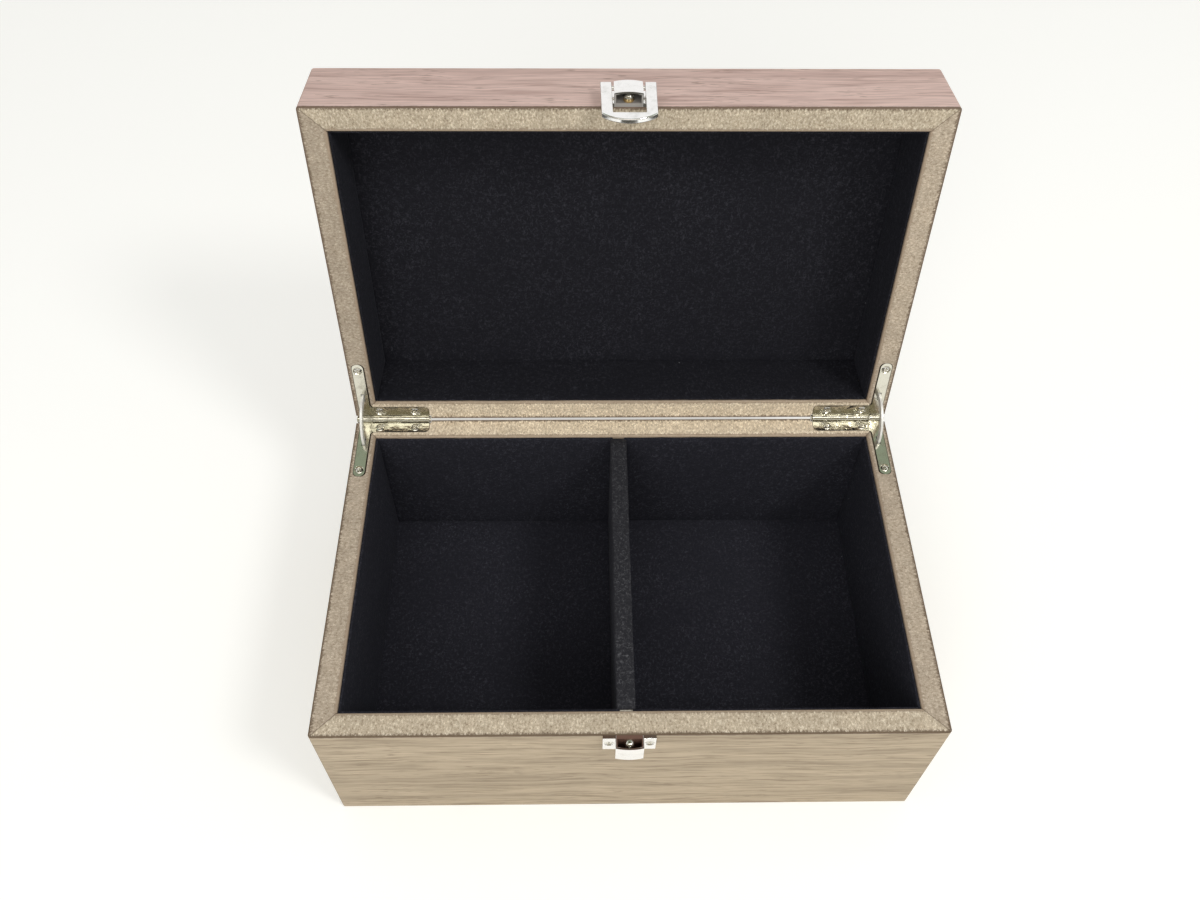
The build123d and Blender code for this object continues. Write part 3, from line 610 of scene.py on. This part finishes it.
def make_plate_effect():
    """Uneven gloss, hairline scratches and slight stamping ripple of plated steel."""
    inputs = {
        "Place": "vector",
        "Bright": "colour",
        "Dull": "colour",
        "Smooth": "value",
        "Hazy": "value",
    }
    outputs = {"Colour": "colour", "Roughness": "value", "Height": "value"}
    tree, given, result = effect("Nickel Plate", inputs, outputs)
    place = given["Place"]
    haze = grainy(tree, place, 170, 4.0, 0.6)
    scratches = grainy(tree, place, 1500, 2.0, 0.6, stretch=(1, 0.06, 0.5))
    across = grainy(tree, place, 1500, 2.0, 0.6, stretch=(0.08, 1, 0.7))
    marks = fade(tree, sum_up(tree, "MAXIMUM", scratches, across), 0.66, 0.74)
    hazy = sum_up(tree, "MAXIMUM", fade(tree, haze, 0.45, 0.75), sum_up(tree, "MULTIPLY", marks, 0.6))
    spans = {"Value": hazy, "To Min": given["Smooth"], "To Max": given["Hazy"]}
    roughness = put(tree, "MapRange", spans).outputs[0]
    colour = blend_colour(tree, fade(tree, haze, 0.4, 0.8), given["Bright"], given["Dull"])
    tree.links.new(colour, result["Colour"])
    tree.links.new(roughness, result["Roughness"])
    ripple = grainy(tree, place, 260, 2.0, 0.5)
    height = sum_up(tree, "SUBTRACT", ripple, sum_up(tree, "MULTIPLY", marks, 0.08))
    tree.links.new(height, result["Height"])
    return tree


plate_effect = make_plate_effect()


ROLLED_REACH = 0.0085, 0.0060
ROLLED_WAVES = 6.0


def rolled_height(tree, place, height):
    """Rolling the knuckles leaves the steel wavy close to the hinge line."""
    split = put(tree, "SeparateXYZ", {0: place}).outputs
    forward = sum_up(tree, "SUBTRACT", split[1], HINGE_AXIS.y)
    above = sum_up(tree, "SUBTRACT", split[2], HINGE_AXIS.z)
    away = sum_up(tree, "MULTIPLY_ADD", above, above, sum_up(tree, "MULTIPLY", forward, forward))
    wavy = fade(tree, sum_up(tree, "SQRT", away), *ROLLED_REACH, 1.0, ROLLED_WAVES)
    return sum_up(tree, "MULTIPLY", sum_up(tree, "SUBTRACT", height, 0.5), wavy)


def nickel_material(name, bright, dull, smooth, hazy, ripple, metallic=1.0, rolled=False):
    """Nickel plate: its two tones, its roughness where clean and where hazy, and its ripple."""
    material, tree, shader, place = finish_material(name)
    sockets = {"Place": place, "Bright": bright, "Dull": dull, "Smooth": smooth, "Hazy": hazy}
    plate = use(tree, plate_effect, sockets)
    height = rolled_height(tree, place, plate["Height"]) if rolled else plate["Height"]
    surface(tree, shader, plate["Colour"], plate["Roughness"], height, ripple)
    shader.inputs["Metallic"].default_value = metallic
    return material


hinge_nickel = nickel_material(
    "Hinge Nickel", (0.71, 0.69, 0.60, 1), (0.57, 0.55, 0.46, 1), 0.13, 0.32, 0.00005, rolled=True
)
stay_nickel = nickel_material(
    "Stay Nickel", (0.92, 0.91, 0.86, 1), (0.80, 0.79, 0.73, 1), 0.38, 0.52, 0.00005, metallic=0.3
)
screw_nickel = nickel_material(
    "Screw Nickel", (0.78, 0.76, 0.70, 1), (0.58, 0.56, 0.50, 1), 0.18, 0.36, 0.00004
)


SHARP_CORNER = radians(35)
SHADED_CORNER = radians(55)
LEAF_EDGE = 0.00012
STAY_EDGE = 0.00015
PIN_EDGE = 0.00008
SCREW_EDGE = 0.00006


def tumbled(node, body, material, edge_radius):
    """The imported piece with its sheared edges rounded, as tumbling leaves them before plating."""
    bm = merged_copy(node)
    sharp = [edge for edge in bm.edges if edge.is_manifold and edge.calc_face_angle(0) > SHARP_CORNER]
    bmesh.ops.bevel(
        bm, geom=sharp, offset=edge_radius, segments=2, affect="EDGES", profile=0.5,
        material=-1, clamp_overlap=True,
    )
    for face in bm.faces:
        face.smooth = True
    piece = piece_from(bm, node + "_plated", body, material, node)
    piece.data.set_sharp_from_angle(angle=SHADED_CORNER)
    flatten = piece.modifiers.new("Flat Faces", "WEIGHTED_NORMAL")
    flatten.keep_sharp = True
    flatten.weight = 100


for hand in ("left", "right"):
    tumbled(f"hinge_base_leaf_{hand}", "base", hinge_nickel, LEAF_EDGE)
    tumbled(f"hinge_lid_leaf_{hand}", "lid", hinge_nickel, LEAF_EDGE)
    tumbled(f"hinge_stay_{hand}", f"stay_{hand}", stay_nickel, STAY_EDGE)
    tumbled(f"hinge_pin_{hand}", "base", hinge_nickel, PIN_EDGE)
for tray in ("base", "lid"):
    tumbled(f"{tray}_hinge_screws", tray, screw_nickel, SCREW_EDGE)


# ---- latch ------------------------------------------------------------------------------
# A pressed keeper on the base and a bracket on the lid, each with two screwed ears and a bowed
# hood, and a cast hasp that swings on a pin through the bracket. All are plated, and polished
# but for the inside of the hoods.

POLISHED = (0.90, 0.89, 0.88, 1), (0.80, 0.79, 0.77, 1), 0.10, 0.24, 0.00003
# Colours painted under the hoods: a grey painted reflection in the bracket, a brown painted shade in
# the keeper.
BRACKET_PAINTED_REFLECTION = (0.400, 0.376, 0.350, 1)
KEEPER_PAINTED_SHADE = (0.190, 0.105, 0.076, 1)
# A yellow painted reflection at the foot of the knob.
KNOB_PAINTED_REFLECTION = (0.72, 0.52, 0.24, 1)
PRESSED_EDGE = 0.00015
CAST_EDGE = 0.00006
# In metres, to each side of the pin's middle and out from the front of the box: where each area
# starts to show and where it is strongest.
UNDER_HOOD = (0.0062, 0.0056), (0.0057, 0.0053)
KNOB_FOOT = (0.0034, 0.0031), (0.0036, 0.0028)


def latch_area(tree, tray, sideways, outwards):
    """A mask that is 1 near the latch's middle line and close to the front of the box."""
    place = shut_place(tree, put(tree, "TexCoord").outputs["Object"], tray)
    split = put(tree, "SeparateXYZ", {0: place}).outputs
    low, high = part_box("hasp_pin")
    middle = (low.x + high.x) / 2
    from_middle = sum_up(tree, "ABSOLUTE", sum_up(tree, "SUBTRACT", split[0], middle))
    standing = sum_up(tree, "SUBTRACT", -HALF_DEPTH, split[1])
    beside = fade(tree, from_middle, *sideways)
    return sum_up(tree, "MULTIPLY", beside, fade(tree, standing, *outwards))


def knob_material():
    """Nickel, with a yellow painted reflection on the knob's foot."""
    material = nickel_material(
        "Knob Nickel With Painted Reflection", (0.74, 0.73, 0.69, 1), (0.58, 0.57, 0.52, 1), 0.18, 0.34, 0.00004
    )
    tree = material.node_tree
    shader = tree.nodes["Principled BSDF"]
    plated = shader.inputs["Base Color"].links[0].from_socket
    painted_reflection_mask = latch_area(tree, "lid", *KNOB_FOOT)
    surface(tree, shader, blend_colour(tree, painted_reflection_mask, plated, KNOB_PAINTED_REFLECTION))
    return material


def hood_material(name, tray, hood_painted_light):
    """Polished outside; dull under the hood, where no wheel reaches, with painted shade and reflection.
    """
    material = nickel_material(name, *POLISHED)
    tree = material.node_tree
    shader = tree.nodes["Principled BSDF"]
    plated = shader.inputs["Base Color"].links[0].from_socket
    gloss = shader.inputs["Roughness"].links[0].from_socket
    dull = latch_area(tree, tray, *UNDER_HOOD)
    rough = sum_up(tree, "MULTIPLY_ADD", dull, 0.45, gloss)
    surface(tree, shader, blend_colour(tree, dull, plated, hood_painted_light), rough)
    tree.links.new(sum_up(tree, "MULTIPLY_ADD", dull, -0.6, 1.0), shader.inputs["Metallic"])
    return material


latch_nickel = nickel_material("Latch Nickel", *POLISHED)
knob_nickel = knob_material()
hood_nickel = hood_material("Bracket Nickel", "lid", BRACKET_PAINTED_REFLECTION)
keeper_nickel = hood_material("Keeper Nickel", "base", KEEPER_PAINTED_SHADE)
tumbled("keeper", "base", keeper_nickel, PRESSED_EDGE)
tumbled("keeper_screws", "base", screw_nickel, SCREW_EDGE)
tumbled("hasp_bracket", "lid", hood_nickel, PRESSED_EDGE)
tumbled("hasp_bracket_screws", "lid", knob_nickel, SCREW_EDGE)
tumbled("hasp_pin", "lid", hood_nickel, PIN_EDGE)
tumbled("hasp_frame", "hasp", latch_nickel, CAST_EDGE)


# ---- floor and light --------------------------------------------------------------------
# A white sheet under the box, bright enough to burn out around it, and broad soft light from
# above, in front and to the right, which leaves a faint shadow on the left. Only reflections
# show a dark ground beyond the sheet and a room around it.

SHEET_WHITE = (0.86, 0.86, 0.82, 1)
SHEET_GLOW = 0.27
GROUND = (0.060, 0.056, 0.045, 1)
# In metres: where the sheet ends in front of the box, where it ends on each side, and how far
# out and how wide the tongues are in which it runs on towards the front.
SHEET_FRONT = -0.24, -0.36
SHEET_SIDE = 0.39, 0.42
TONGUE_PLACE = 0.295
TONGUE_HALF_WIDTH = 0.080, 0.115


def floor_material():
    """White for the camera, and for reflections a sheet that ends on a dark ground."""
    material, tree, shader, place = finish_material("White Floor")
    shader.inputs["Roughness"].default_value = 0.9
    paths = put(tree, "LightPath").outputs
    split = put(tree, "SeparateXYZ", {0: place}).outputs
    sideways = sum_up(tree, "ABSOLUTE", split[0])
    from_tongue = sum_up(tree, "ABSOLUTE", sum_up(tree, "SUBTRACT", sideways, TONGUE_PLACE))
    off_sheet = fade(tree, split[1], *SHEET_FRONT)
    off_sheet = sum_up(tree, "MULTIPLY", off_sheet, fade(tree, from_tongue, *TONGUE_HALF_WIDTH))
    off_sheet = sum_up(tree, "MAXIMUM", off_sheet, fade(tree, sideways, *SHEET_SIDE))
    beyond = sum_up(tree, "MULTIPLY", off_sheet, paths["Is Glossy Ray"])
    colour = blend_colour(tree, beyond, SHEET_WHITE, GROUND)
    tree.links.new(colour, shader.inputs["Base Color"])
    seen = sum_up(tree, "ADD", paths["Is Camera Ray"], paths["Is Glossy Ray"])
    seen = sum_up(tree, "ADD", seen, paths["Is Transmission Ray"], clamp=True)
    seen = sum_up(tree, "MULTIPLY", seen, sum_up(tree, "SUBTRACT", 1.0, beyond))
    tree.links.new(sum_up(tree, "MULTIPLY", seen, SHEET_GLOW), shader.inputs["Emission Strength"])
    shader.inputs["Emission Color"].default_value = (1, 1, 0.99, 1)
    return material


bm = bmesh.new()
bmesh.ops.create_grid(bm, x_segments=1, y_segments=1, size=6.0)
floor_mesh = bpy.data.meshes.new("floor_sheet")
bm.to_mesh(floor_mesh)
bm.free()
floor_mesh.materials.append(floor_material())
floor_sheet = bpy.data.objects.new("floor_sheet", floor_mesh)
bpy.context.scene.collection.objects.link(floor_sheet)

SKY_LIGHT = 0.57
WALLS = (1.0, 0.995, 0.985, 1)
CORNICE = (0.325, 0.385, 0.300, 1)
CEILING = (0.100, 0.064, 0.045, 1)
SHELF = (0.300, 0.265, 0.180, 1)
CEILING_LAMP = (2.3, 2.25, 2.1, 1)
# How steeply up each part of the reflected room begins and is full, where 1 is overhead, and how
# far towards the front the part with the shelf and the lamp does.
CORNICE_RISE = 0.48, 0.72
CEILING_RISE = 0.80, 0.92
SHELF_RISE = 0.15, 0.30
LAMP_RISE = 0.75, 0.88
FRONT_TURN = -0.05, -0.25

world = bpy.data.worlds.new("Studio")
bpy.context.scene.world = world
world.use_nodes = True
sky = world.node_tree
background = sky.nodes["Background"]
paths = put(sky, "LightPath").outputs
seen = sum_up(sky, "ADD", paths["Is Camera Ray"], paths["Is Glossy Ray"])
seen = sum_up(sky, "ADD", seen, paths["Is Transmission Ray"], clamp=True)
strength = sum_up(sky, "MULTIPLY_ADD", seen, 1.0 - SKY_LIGHT, SKY_LIGHT)
sky.links.new(strength, background.inputs["Strength"])
towards = put(sky, "SeparateXYZ", {0: put(sky, "TexCoord").outputs["Generated"]}).outputs
upward = towards[2]
room = blend_colour(sky, fade(sky, upward, *CORNICE_RISE), WALLS, CORNICE)
room = blend_colour(sky, fade(sky, upward, *CEILING_RISE), room, CEILING)
front = blend_colour(sky, fade(sky, upward, *SHELF_RISE), WALLS, SHELF)
front = blend_colour(sky, fade(sky, upward, *LAMP_RISE), front, CEILING_LAMP)
room = blend_colour(sky, fade(sky, towards[1], *FRONT_TURN), room, front)
shown = blend_colour(sky, paths["Is Glossy Ray"], WALLS, room)
sky.links.new(shown, background.inputs["Color"])

LIGHT_AIM = Vector((0, 0, 0.1))


def soft_light(name, place, size, power):
    """A round lamp of a width in metres and a power in watts, aimed at the middle of the box."""
    lamp = bpy.data.lights.new(name, "AREA")
    lamp.shape = "DISK"
    lamp.size = size
    lamp.energy = power
    light = bpy.data.objects.new(name, lamp)
    bpy.context.scene.collection.objects.link(light)
    light.location = place
    light.rotation_euler = (LIGHT_AIM - Vector(place)).to_track_quat("-Z", "Y").to_euler()
    return light


soft_light("key_light", (0.95, -0.7, 1.6), size=0.45, power=9)
fill_light = soft_light("fill_light", (-0.3, -1.5, 1.2), size=1.2, power=12)
fill_light.visible_glossy = False


# ---- camera -----------------------------------------------------------------------------
# Held above the front of the open box and looking down into it, with a fairly wide lens.

camera_data = bpy.data.cameras.new("camera")
camera_data.sensor_width = 36.0
camera_data.lens = 32.62
camera = bpy.data.objects.new("camera", camera_data)
camera.location = (-0.0208, -0.2736, 0.5365)
camera.rotation_euler = (radians(37.155), radians(-0.605), radians(-0.741))
bpy.context.scene.collection.objects.link(camera)
bpy.context.scene.camera = camera
bpy.context.scene.view_settings.view_transform = "Standard"
